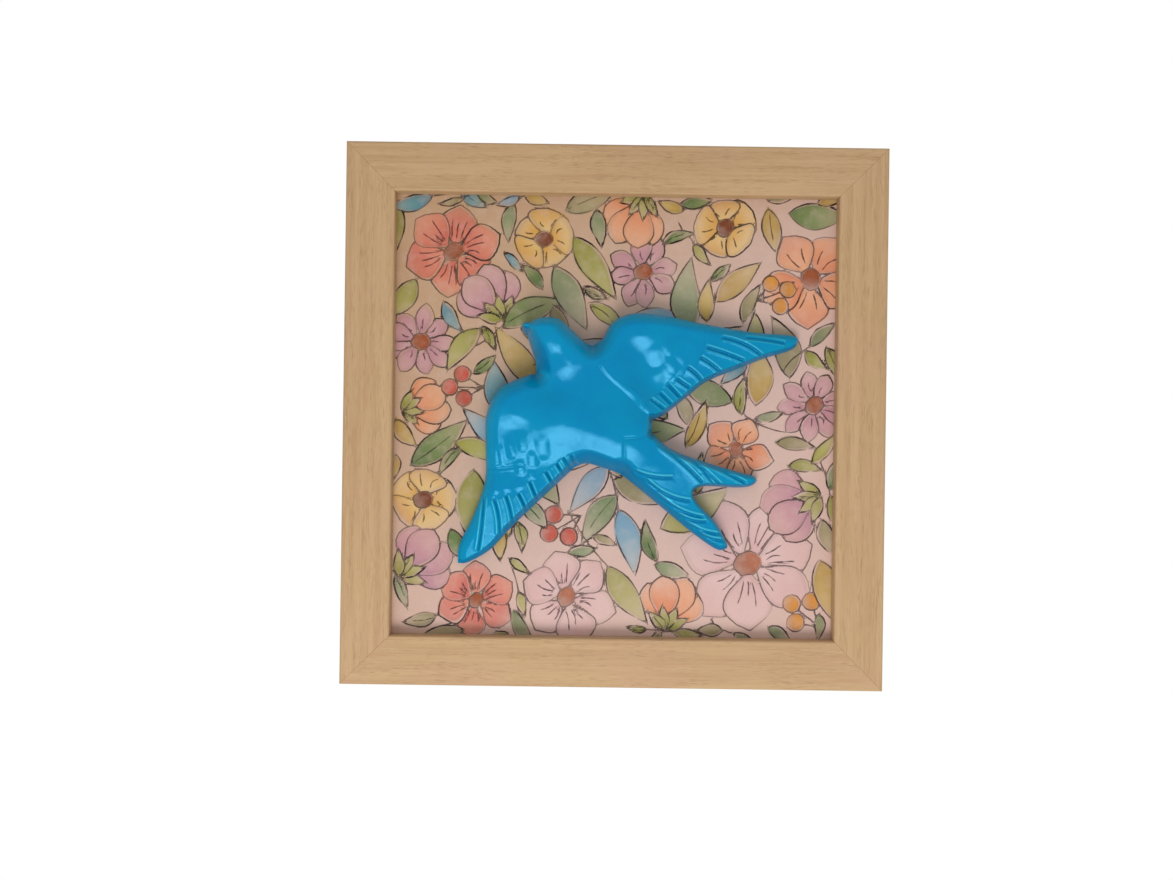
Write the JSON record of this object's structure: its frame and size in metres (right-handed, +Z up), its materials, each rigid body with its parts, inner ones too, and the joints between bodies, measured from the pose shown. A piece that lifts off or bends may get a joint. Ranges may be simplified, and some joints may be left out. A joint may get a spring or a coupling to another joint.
{
  "type": "framed azulejo tile with ceramic swallow",
  "caption": "Square glazed floral wall tile in a mitred wooden frame, with a blue glazed swallow in high relief, to hang on a wall.",
  "frame": {"origin": "middle of the hanger's rear face, where a nail in the wall carries the work", "axes": "+Y into the wall, -Y out of the picture towards the viewer, +Z up, +X to the viewer's right"},
  "size_m": [0.237, 0.0422, 0.237],
  "materials": {
    "frame_wood": "light brown hardwood, satin, straight fine grain",
    "tile_glaze": "satin glaze, painted with flowers on dusty pink",
    "swallow_glaze": "glossy turquoise-blue glaze",
    "back_board": "plain brown hardboard",
    "hanger_brass": "stamped, brassed",
    "steel": "plain wire"
  },
  "bodies": {
    "root": {"frame_rail_top": "frame_wood", "frame_rail_bottom": "frame_wood", "frame_rail_left": "frame_wood", "frame_rail_right": "frame_wood", "tile": "tile_glaze", "swallow": "swallow_glaze", "back_board": "back_board", "hanger": "hanger_brass", "hanger_nail_left": "steel", "hanger_nail_right": "steel", "board_pin_1": "steel", "board_pin_2": "steel", "board_pin_3": "steel", "board_pin_4": "steel", "board_pin_5": "steel", "board_pin_6": "steel", "board_pin_7": "steel", "board_pin_8": "steel"}
  },
  "joints": []
}
